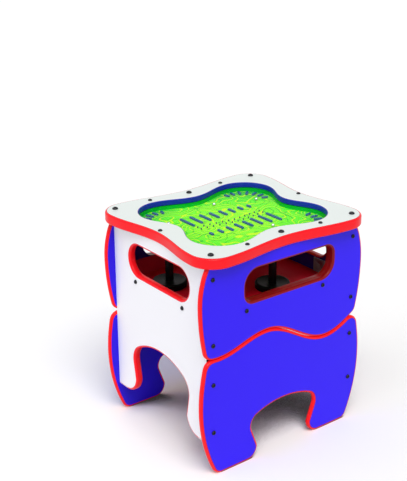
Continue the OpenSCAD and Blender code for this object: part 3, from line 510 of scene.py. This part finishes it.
def board(side, loops, caps, trims=()):
    """A board from its loops: each is an outline, its edge rings, and its material numbers for
    the line at the outer face and for the edge. Caps are those of the outer and inner faces.
    Trims are planes, as a point and a direction, beyond which the board is cut away."""
    right, up, out = SIDES[side]
    mesh = bmesh.new()
    ends = [[], []]
    for points, rings, (line, paint) in loops:
        steps = outward(points)
        made = [[mesh.verts.new(right * (p.x + s.x * step) + up * (p.y + s.y * step) + out * depth)
                 for p, s in zip(points, steps)] for depth, step in rings]
        for j, (upper, lower) in enumerate(zip(made, made[1:])):
            for i in range(len(points)):
                k = (i + 1) % len(points)
                face = mesh.faces.new((upper[i], lower[i], lower[k], upper[k]))
                face.material_index = paint if j else line
                face.smooth = True
        ends[0].append(made[0])
        ends[1].append(made[-1])
    for rings, material, sense in ((ends[0], caps[0], 1), (ends[1], caps[1], -1)):
        corners = [v for ring in rings for v in ring]
        flat = [[Vector((v.co.dot(right), v.co.dot(up), 0)) for v in ring] for ring in rings]
        for triple in tessellate_polygon(flat):
            a, b, c = (corners[i] for i in triple)
            if (b.co - a.co).cross(c.co - a.co).dot(out) * sense < 0:
                a, c = c, a
            # A triangle given twice, or with a corner twice, leaves no hole when it is skipped
            try:
                mesh.faces.new((a, b, c)).material_index = material
            except ValueError:
                pass
    mesh.normal_update()
    for edge in mesh.edges:
        edge.smooth = edge.calc_face_angle(0) < SQUARE
    for point, direction in trims:
        everything = mesh.verts[:] + mesh.edges[:] + mesh.faces[:]
        cut = bmesh.ops.bisect_plane(mesh, geom=everything, dist=WELD, plane_co=point,
                                     plane_no=direction, clear_outer=True)
        rim = [e for e in cut["geom_cut"] if isinstance(e, bmesh.types.BMEdge)]
        filled = bmesh.ops.triangle_fill(mesh, edges=rim, use_beauty=True, normal=direction)
        # What a cut lays bare is painted like the outer edge
        for face in filled["geom"]:
            if isinstance(face, bmesh.types.BMFace):
                face.material_index = loops[0][2][1]
    return mesh


SPARE = 8 * MM
# A run that advances less than this along a limit's axis is taken as level
NO_LENGTH = 1e-6


def spared(points, limits):
    """An outline with its trimmed runs moved out to leave spare for cutting. Limits are
    (axis, value): the runs that lie on them move."""
    for axis, value in limits:
        sense = 1 if value > 0 else -1
        on = [abs(p[axis] - value) < ON_PLANE for p in points]
        moved = []
        for i, p in enumerate(points):
            if not on[i]:
                moved.append(p)
                continue
            k = (i + 1) % len(points)
            free = points[i - 1] if not on[i - 1] else points[k] if not on[k] else None
            step = Vector((0, 0))
            step[axis] = SPARE * sense
            if free is not None and abs((p - free)[axis]) > NO_LENGTH:
                step = (p - free) * (SPARE * sense / (p - free)[axis])
            moved.append(p + step)
        points = moved
    return points


# Faces that meet at less than this are joined into one before the edges are eased
FLAT = math.radians(1)


def softened(node, width, sharp=math.radians(30)):
    """A copy of a solid's mesh with its sharp edges eased."""
    mesh = welded(node)
    bmesh.ops.dissolve_limit(mesh, angle_limit=FLAT, verts=mesh.verts, edges=mesh.edges)
    edges = [e for e in mesh.edges if len(e.link_faces) == 2 and e.calc_face_angle(0) > sharp]
    bmesh.ops.bevel(mesh, geom=edges, offset=width, segments=2, affect="EDGES", profile=0.5,
                    clamp_overlap=True)
    for face in mesh.faces:
        face.smooth = True
    for edge in mesh.edges:
        edge.smooth = edge.calc_face_angle(0) < sharp
    return mesh


def lathe(mesh, origin, axis, rings, segments, crease=math.radians(32)):
    """Add a turned shape. Rings are (height along the axis, radius, sides), where sides 0 is
    round and 6 is a hexagon; the first and last are closed."""
    across = axis.orthogonal().normalized()
    beside = axis.cross(across)
    rows = []
    for height, radius, sides in rings:
        row = []
        for k in range(segments):
            angle = 2 * math.pi * k / segments
            r = radius
            if sides:
                half = math.pi / sides
                r = radius * math.cos(half) / math.cos((angle + half) % (2 * half) - half)
            row.append(mesh.verts.new(
                origin + axis * height + (across * math.cos(angle) + beside * math.sin(angle)) * r))
        rows.append(row)
    made = []
    for low, high in zip(rows, rows[1:]):
        for k in range(segments):
            j = (k + 1) % segments
            made.append(mesh.faces.new((low[k], low[j], high[j], high[k])))
    made.append(mesh.faces.new(rows[0][::-1]))
    made.append(mesh.faces.new(rows[-1]))
    for face in made:
        face.smooth = True
    mesh.normal_update()
    for face in made:
        for edge in face.edges:
            edge.smooth = edge.calc_face_angle(0) < crease


def islands(node):
    """Corners of each separate solid in a node, in the order of its mesh."""
    mesh = welded(node)
    left = set(mesh.verts)
    found = []
    for first in mesh.verts:
        if first not in left:
            continue
        left.discard(first)
        stack, group = [first], []
        while stack:
            vertex = stack.pop()
            group.append(vertex.co.copy())
            for edge in vertex.link_edges:
                other = edge.other_vert(vertex)
                if other in left:
                    left.discard(other)
                    stack.append(other)
        found.append(group)
    mesh.free()
    return found


# Points at least this share of a head's radius from the axis are on its rim
HEAD_RIM = 0.97
# The shank's radius is read this close to its tip
TIP_BAND = 0.5 * MM


def fasteners(node):
    """Each screw of a node: its head's seat, its direction towards the head, and the head's
    radius and height, the shank's radius and its length."""
    found = []
    for group in islands(node):
        low = Vector([min(p[k] for p in group) for k in range(3)])
        high = Vector([max(p[k] for p in group) for k in range(3)])
        size = high - low
        k = max(range(3), key=lambda i: size[i])
        axis = Vector((0, 0, 0))
        axis[k] = 1.0
        middle = (low + high) / 2

        def radius(p):
            away = p - middle
            away[k] = 0
            return away.length

        head_r = max(map(radius, group))
        rim = [p for p in group if radius(p) > HEAD_RIM * head_r]
        if sum(p[k] for p in rim) / len(rim) < middle[k]:
            axis.negate()
        along = [(p - middle).dot(axis) for p in group]
        seat = min((p - middle).dot(axis) for p in rim)
        tip = min(along)
        shank_r = max(radius(p) for p in group if (p - middle).dot(axis) < tip + TIP_BAND)
        found.append((middle + axis * seat, axis, head_r, max(along) - seat, shank_r, seat - tip))
    return found


THREAD_PITCH = 1.6 * MM
THREAD_DEPTH = 0.3 * MM
# Radius of a shank's tip, as a share of the shank's
TIP_SHARE = 0.35


def shank_rings(radius, length, bare):
    """A pointed shank with thread ridges, from its tip up to the head's seat."""
    root = radius - THREAD_DEPTH
    rings = [(-length, radius * TIP_SHARE, 0), (-length + radius, root, 0)]
    z = -length + radius
    while z < -bare - THREAD_PITCH:
        rings.append((z + THREAD_PITCH / 2, radius, 0))
        rings.append((z + THREAD_PITCH, root, 0))
        z += THREAD_PITCH
    plain = radius - THREAD_DEPTH / 2
    return rings + [(-bare, plain, 0), (0.0, plain, 0)]


HEX = 6
HEAD_SIDES = 24
DOME_STEPS = 6
# A socket's mouth, as a multiple of the socket's radius
SOCKET_MOUTH = 1.1
# Shares of a round head's radius or height: its flat middle, the socket, how high the socket's
# sides end, the floor of the socket and its radius, and the part of the shank without thread
DOME_FLAT, DOME_SOCKET, DOME_DEEP = 0.62, 0.44, 0.4
DOME_FLOOR, DOME_FLOOR_R, DOME_BARE = 0.3, 0.3, 0.3
DOME_CHAMFER, DOME_LIP = 0.3 * MM, 0.25 * MM
# Shares of a flat head's radius or height: the socket, the socket's floor, how high its side
# stands, and the height and radius of its shoulder and the radius of its flat
PAN_SOCKET, PAN_FLOOR, PAN_SIDE = 0.4, 0.45, 0.55
PAN_SHOULDER, PAN_SHOULDER_R, PAN_FLAT = 0.85, 0.88, 0.66
PAN_LIP, PAN_BARE = 0.2 * MM, 1.0 * MM


def dome_screw(mesh, seat, axis, head_r, head_h, shank_r, length):
    """Round-headed screw with a hexagonal socket."""
    rings = shank_rings(shank_r, length, length * DOME_BARE)
    rings += [(0.0, head_r - DOME_CHAMFER, 0), (DOME_LIP, head_r, 0)]
    flat = head_r * DOME_FLAT
    for k in range(1, DOME_STEPS + 1):
        a = math.pi / 2 * k / DOME_STEPS
        rings.append((DOME_LIP + (head_h - DOME_LIP) * math.sin(a),
                      flat + (head_r - flat) * math.cos(a), 0))
    socket = head_r * DOME_SOCKET
    rings += [(head_h, socket * SOCKET_MOUTH, 0), (head_h - DOME_LIP, socket, HEX),
              (head_h * DOME_DEEP, socket, HEX), (head_h * DOME_FLOOR, socket * DOME_FLOOR_R, HEX)]
    lathe(mesh, seat, axis, rings, HEAD_SIDES)


def pan_screw(mesh, seat, axis, head_r, head_h, shank_r, length):
    """Small flat-topped screw with a shallow socket."""
    socket = head_r * PAN_SOCKET
    rings = shank_rings(shank_r, length, PAN_BARE) + [
        (0.0, head_r - PAN_LIP, 0), (PAN_LIP, head_r, 0), (head_h * PAN_SIDE, head_r, 0),
        (head_h * PAN_SHOULDER, head_r * PAN_SHOULDER_R, 0), (head_h, head_r * PAN_FLAT, 0),
        (head_h, socket * SOCKET_MOUTH, 0), (head_h - PAN_LIP, socket, HEX),
        (head_h * PAN_FLOOR, socket, HEX)]
    lathe(mesh, seat, axis, rings, HEAD_SIDES)


def screws(node, shape, material):
    """All the screws of a node as one piece."""
    mesh = bmesh.new()
    for screw in fasteners(node):
        shape(mesh, *screw)
    piece(f"{node}_turned", mesh, [material], node)


# ---- the top ----

# Places of a board's materials: its face, the line round the face, the outer edge, the back and
# the edge of an opening
LAMINATE, LINE, EDGE, BACK, RIM = range(5)


def make_top():
    """White upper board: rounded outer edge in red, and a blue wall inside the opening."""
    inner, outer = depths("top_board", "top")
    face = outlines("top_board", "top", outer)
    wall = outlines("top_board", "top", inner)
    round_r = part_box("top_board")[1].x - max(p.x for p in face[0])
    lip_r = max(p.x for p in face[1]) - max(p.x for p in wall[1])
    loops = [(smooth(face[0]), edge_rings(outer, inner, round_r, 0), (LINE, EDGE)),
             (smooth(face[1]), edge_rings(outer, inner, lip_r, 0), (LINE, RIM))]
    mesh = board("top", loops, (LAMINATE, BACK))
    piece("top_board_laminated", mesh, [white_top, top_line, red, under, blue_wall],
          "top_board")


def make_tray():
    """Red lower board: green wall inside the opening, with a seat for the window."""
    inner, outer = depths("tray_frame", "top")
    face = outlines("tray_frame", "top", outer)
    below = outlines("tray_frame", "top", inner)
    round_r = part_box("tray_frame")[1].x - max(p.x for p in below[0])
    lap = max(p.x for p in face[1]) - max(p.x for p in below[1])
    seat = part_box("window")[0].z
    rabbet = [(outer, -lap), (seat, -lap), (seat, 0.0), (inner, 0.0)]
    loops = [(smooth(face[0]), edge_rings(outer, inner, 0, round_r), (EDGE, EDGE)),
             (smooth(below[1]), rabbet, (RIM, RIM))]
    mesh = board("top", loops, (BACK, BACK))
    piece("tray_frame_painted", mesh, [white, white_line_painted_highlight, red, under, green_wall],
          "tray_frame")


# ---- the walls ----

# The paint round of a panel's outer edge begins this far inside its flat face
PAINT_LAP = 1 * MM


def make_front_panels(side):
    """Purple wavy panels with red rounded edges: the upper one has the hand opening."""
    top_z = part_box(f"{side}_upper_panel")[1].z
    for part in ("upper", "lower"):
        node = f"{side}_{part}_panel"
        inner, outer = depths(node, side)
        face = outlines(node, side, outer)
        widest = max(v.co.dot(SIDES[side][0]) for v in nodes[node].data.vertices)
        round_r = widest - max(p.x for p in face[0])
        rim = face[0]
        trims = []
        if part == "upper":
            rim = spared(rim, [(1, top_z)])
            trims = [(Vector((0, 0, top_z)), Vector((0, 0, 1)))]
        outer_r = round_r + PAINT_LAP
        loops = [(smooth(rim), edge_rings(outer, inner, outer_r, round_r, -PAINT_LAP), (LINE, EDGE))]
        for hole in face[1:]:
            loops.append((smooth(hole), edge_rings(outer, inner, outer_r, 0, -PAINT_LAP), (LINE, RIM)))
        mesh = board(side, loops, (LAMINATE, BACK), trims)
        piece(f"{node}_laminated", mesh, [purple, purple_line, red, purple_inner, red_rim_painted_shade],
              node)


# The lower edge of a side panel's legs: up to this many edge radii high, and past this share of
# the panel's half width
FOOT_HIGH, FOOT_PAST = 1.02, 0.82


def make_side_panel(side):
    """White side panel: red on the arch and in the hand opening, white straight edges."""
    node = f"{side}_panel"
    inner, outer = depths(node, side)
    right = SIDES[side][0]
    face = outlines(node, side, outer)
    top_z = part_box(node)[1].z
    half = max(v.co.dot(right) for v in nodes[node].data.vertices)
    round_r = min(p.y for p in face[0]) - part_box(node)[0].z
    rim = spared(face[0], [(1, top_z), (0, half), (0, -half)])
    trims = [(Vector((0, 0, top_z)), Vector((0, 0, 1))), (right * half, right),
             (-right * half, -right)]
    rings = edge_rings(outer, inner, round_r + PAINT_LAP, round_r, -PAINT_LAP)
    loops = [(smooth(loop), rings, (LINE, EDGE)) for loop in [rim] + face[1:]]
    mesh = board(side, loops, (LAMINATE, BACK), trims)
    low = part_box(node)[0].z
    for f in mesh.faces:
        centre = f.calc_center_median()
        across = abs(centre.dot(right))
        foot = centre.z < low + round_r * FOOT_HIGH and across > half * FOOT_PAST
        if f.material_index == EDGE and (abs(across - half) < ON_PLANE or foot):
            f.material_index = LAMINATE
    piece(f"{node}_laminated", mesh, [white, white_line_painted_highlight, red, navy_inner_painted_shade], node)


LINER_ROUND = 1.5 * MM


def make_liner(side):
    """Inner panel whose hand opening is edged in red darkened as painted shade: crimson below
    the opening's lower edge, and above it a purple darkened as painted shade."""
    node = f"{side}_liner"
    inner, outer = depths(node, side)
    face = outlines(node, side, outer)
    loops = [(face[0], edge_rings(outer, inner, 0, 0), (BACK, BACK))]
    for hole in face[1:]:
        loops.append((smooth(hole), edge_rings(outer, inner, LINER_ROUND, LINER_ROUND, -LINER_ROUND),
                      (EDGE, EDGE)))
    mesh = board(side, loops, (BACK, BACK))
    sill = Vector((0, 0, min(p.y for p in face[1])))
    everything = mesh.verts[:] + mesh.edges[:] + mesh.faces[:]
    bmesh.ops.bisect_plane(mesh, geom=everything, dist=WELD, plane_co=sill, plane_no=Vector((0, 0, 1)))
    for f in mesh.faces:
        if f.material_index == BACK and f.calc_center_median().z < sill.z:
            f.material_index = LAMINATE
    piece(f"{node}_painted", mesh, [red_inner, purple_line, red_rim_painted_shade, navy_inner_painted_shade], node)


# ---- wands and balls ----

# Steps round a turned piece's lower and upper corners
LOW_STEPS, HIGH_STEPS = 5, 6
# A dish's side stands this far in from the rounded corner. From there it leans out to the dish's
# rim and in to its floor by these.
DISH_BORDER, DISH_OUT, DISH_IN = 2 * MM, 0.5 * MM, 1.5 * MM
# A wand's pieces, in mm: node, how it was made, material, slot, the radii of its lower and upper
# corners, the depth of the dish in its top, and the sides it is turned with
WAND_PARTS = (
    ("base", "moulded", black_plastic, "black_plastic", 1.0, 4.0, 0.8, 96),
    ("glide", "felt", felt, "felt", 0.4, 0.2, 0.0, 64),
    ("post", "turned", post_black, "black_post", 0.8, 0.8, 0.0, 64),
    ("head", "moulded", black_plastic, "black_plastic", 5.0, 1.0, 0.0, 64),
    ("magnet", "plated", nickel, "magnet_nickel", 0.4, 0.4, 0.0, 64),
)
BALL_STEPS, BALL_SIDES = 24, 40
# The ball's first and last rings are this share of a step away from the poles
BALL_POLE = 0.15


def wand_profile(low, high, radius, soft_low, soft_high, dish):
    """Rings of a turned piece with rounded ends; a dish is a shallow hollow in its top."""
    rings = [(low, radius - soft_low, 0)]
    rings += [(low + soft_low * (1 - math.cos(a)), radius - soft_low * (1 - math.sin(a)), 0)
              for a in (math.pi / (2 * LOW_STEPS) * k for k in range(1, LOW_STEPS + 1))]
    rings += [(high - soft_high * (1 - math.cos(a)), radius - soft_high * (1 - math.sin(a)), 0)
              for a in (math.pi / 2 - math.pi / (2 * HIGH_STEPS) * k for k in range(HIGH_STEPS + 1))]
    if dish:
        inner = radius - soft_high - DISH_BORDER
        rings += [(high, inner + DISH_OUT, 0), (high - dish, inner - DISH_IN, 0)]
    return rings


def make_turned(node, name, body, material, rings, segments):
    """A piece turned about the upright axis of the solid it stands for."""
    low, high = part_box(node)
    centre = Vector(((low.x + high.x) / 2, (low.y + high.y) / 2, 0))
    mesh = bmesh.new()
    lathe(mesh, centre, Vector((0, 0, 1)), rings, segments)
    piece(name, mesh, [material], node, body)


def make_wand(place):
    """One wand from its base up, and the ball that it leads under the window."""
    body = f"{place}_wand"
    for part, how, material, slot, soft_low, soft_high, dish, segments in WAND_PARTS:
        node = f"{body}_{part}"
        low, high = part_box(node)
        rings = wand_profile(low.z, high.z, (high.x - low.x) / 2,
                             soft_low * MM, soft_high * MM, dish * MM)
        make_turned(node, f"{node}_{how}", body, material, rings, segments)
    low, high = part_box(f"{place}_ball")
    r = (high.z - low.z) / 2
    rings = [(low.z + r - r * math.cos(a), r * math.sin(a), 0)
             for a in (math.pi * (k + BALL_POLE) / (BALL_STEPS + 2 * BALL_POLE)
                       for k in range(BALL_STEPS + 1))]
    make_turned(f"{place}_ball", f"{place}_ball_polished", f"{place}_ball_body", ball_steel,
                rings, BALL_SIDES)


def repaint(node, material):
    """Give a solid that stays as it is a better material."""
    slots = nodes[node].data.materials
    slots.clear()
    slots.append(material)


def ease(node, how, width, material):
    """A piece that follows its solid, with the sharp edges eased by a width in mm."""
    piece(f"{node}_{how}", softened(node, width * MM), [material], node)


make_top()
make_tray()
repaint("window", clear_sheet())
repaint("play_board", lime)
ease("chime_bars", "eased", 0.6, bar_blue)
ease("chime_pins", "eased", 0.4, pin_teal)
for wall in ("front", "back"):
    make_front_panels(wall)
    make_liner(wall)
for wall in ("left", "right"):
    make_side_panel(wall)
ease("shelf", "eased", 0.5, red_shelf)
ease("shelf_hangers", "bent", 0.3, hanger_steel)
ease("top_inserts", "cut", 0.3, brass)
for name in ("top_bolts", "top_screws", "front_screws", "back_screws", "liner_screws",
             "hanger_screws"):
    screws(name, dome_screw, screw_black)
for name in ("tray_screws", "shelf_screws"):
    screws(name, pan_screw, zinc)
for place in ("left", "right", "front", "back"):
    make_wand(place)


# ---- studio ----

FLOOR_HALF = 30.0
FLOOR_WHITE = 0.97
FLOOR_LIFT = 0.02
FLOOR_ROUGHNESS, FLOOR_SPECULAR = 0.8, 0.1
# Painted shade: the floor's colour darkens to this tone where surfaces within reach leave little of the
# sky open,
# # seen from the floor towards the lean. The open shares are those at which the painted shade is full
# and ends.
SHADE_REACH = 0.5
SHADE_LEAN = (-0.8, 0.0, 0.6)
SHADE_TONE = 0.03
SHADE_FULL, SHADE_NONE = 0.44, 0.56
SHADE_SAMPLES = 32


def make_floor():
    """White floor that keeps the table's soft shadow from the lamps, deepened under the table by painted
    shade in its colour.
    """
    mesh = bmesh.new()
    corners = [mesh.verts.new((x * FLOOR_HALF, y * FLOOR_HALF, 0))
               for x, y in ((-1, -1), (1, -1), (1, 1), (-1, 1))]
    mesh.faces.new(corners)
    data = bpy.data.meshes.new("studio_floor")
    mesh.to_mesh(data)
    mesh.free()
    floor = bpy.data.objects.new("studio_floor", data)
    bpy.context.scene.collection.objects.link(floor)
    material = bpy.data.materials.new("studio floor white")
    material.use_nodes = True
    tree = material.node_tree
    shader = tree.nodes["Principled BSDF"]
    lean = add(tree, "ShaderNodeCombineXYZ", dict(zip("XYZ", SHADE_LEAN)))
    nearby = add(tree, "ShaderNodeAmbientOcclusion", {
        "Distance": SHADE_REACH, "Normal": lean.outputs[0]}, samples=SHADE_SAMPLES)
    # Painted shade: the floor's colour falls to the shade tone where little sky is open nearby
    tone = add(tree, "ShaderNodeMapRange", {
        "Value": nearby.outputs["AO"], "From Min": SHADE_FULL, "From Max": SHADE_NONE,
        "To Min": SHADE_TONE, "To Max": FLOOR_WHITE}, interpolation_type="SMOOTHSTEP")
    tree.links.new(tone.outputs["Result"], shader.inputs["Base Color"])
    shader.inputs["Roughness"].default_value = FLOOR_ROUGHNESS
    shader.inputs["Specular IOR Level"].default_value = FLOOR_SPECULAR
    path = add(tree, "ShaderNodeLightPath")
    lift = add(tree, "ShaderNodeMath", {0: path.outputs["Is Camera Ray"], 1: FLOOR_LIFT},
               operation="MULTIPLY")
    glow = add(tree, "ShaderNodeEmission", {"Color": (1, 1, 1, 1), "Strength": lift.outputs[0]})
    both = add(tree, "ShaderNodeAddShader", {0: shader.outputs[0], 1: glow.outputs[0]})
    tree.links.new(both.outputs[0], tree.nodes["Material Output"].inputs["Surface"])
    data.materials.append(material)


# How bright the sky is as a light; where it is seen or mirrored it is full white
SKY_LEVEL = 0.3
# Each lamp's name, the way towards it, its strength, and its spread in degrees
SUNS = (("key", (-0.35, -0.75, 1.25), 2.2, 35), ("fill", (-1.0, 0.1, 0.8), 0.8, 60))


def make_light():
    """White room with two wide, soft lamps."""
    world = bpy.data.worlds.new("studio")
    bpy.context.scene.world = world
    world.use_nodes = True
    tree = world.node_tree
    path = add(tree, "ShaderNodeLightPath")
    seen = add(tree, "ShaderNodeMath", {
        0: path.outputs["Is Camera Ray"], 1: path.outputs["Is Glossy Ray"]}, operation="MAXIMUM")
    through = add(tree, "ShaderNodeMath", {
        0: seen.outputs[0], 1: path.outputs["Is Transmission Ray"]}, operation="MAXIMUM")
    level = add(tree, "ShaderNodeMapRange", {
        "Value": through.outputs[0], "To Min": SKY_LEVEL, "To Max": 1.0})
    sky = tree.nodes["Background"]
    sky.inputs["Color"].default_value = (1, 1, 1, 1)
    tree.links.new(level.outputs["Result"], sky.inputs["Strength"])
    for name, towards, strength, spread in SUNS:
        lamp = bpy.data.lights.new(f"{name}_lamp", "SUN")
        lamp.energy = strength
        lamp.angle = math.radians(spread)
        lit = bpy.data.objects.new(f"{name}_lamp", lamp)
        lit.rotation_euler = Vector(towards).to_track_quat("Z", "Y").to_euler()
        bpy.context.scene.collection.objects.link(lit)


LENS, SENSOR = 78.64, 36.0
SHIFT_X, SHIFT_Y = -0.0607, -0.1206
FARTHEST = 100.0
CAMERA_PLACE = (-1.4685, -1.8450, 1.3855)
CAMERA_AIM = (0, 0, 0.6133)


def make_camera():
    """Camera that looks down on the table's front left corner, with a shifted frame."""
    data = bpy.data.cameras.new("camera")
    data.lens = LENS
    data.sensor_width = SENSOR
    data.shift_x = SHIFT_X
    data.shift_y = SHIFT_Y
    data.clip_end = FARTHEST
    camera = bpy.data.objects.new("camera", data)
    camera.location = CAMERA_PLACE
    aim = Vector(CAMERA_AIM) - camera.location
    camera.rotation_euler = aim.to_track_quat("-Z", "Y").to_euler()
    bpy.context.scene.collection.objects.link(camera)
    bpy.context.scene.camera = camera


make_floor()
make_light()
make_camera()
bpy.context.scene.view_settings.view_transform = "Standard"
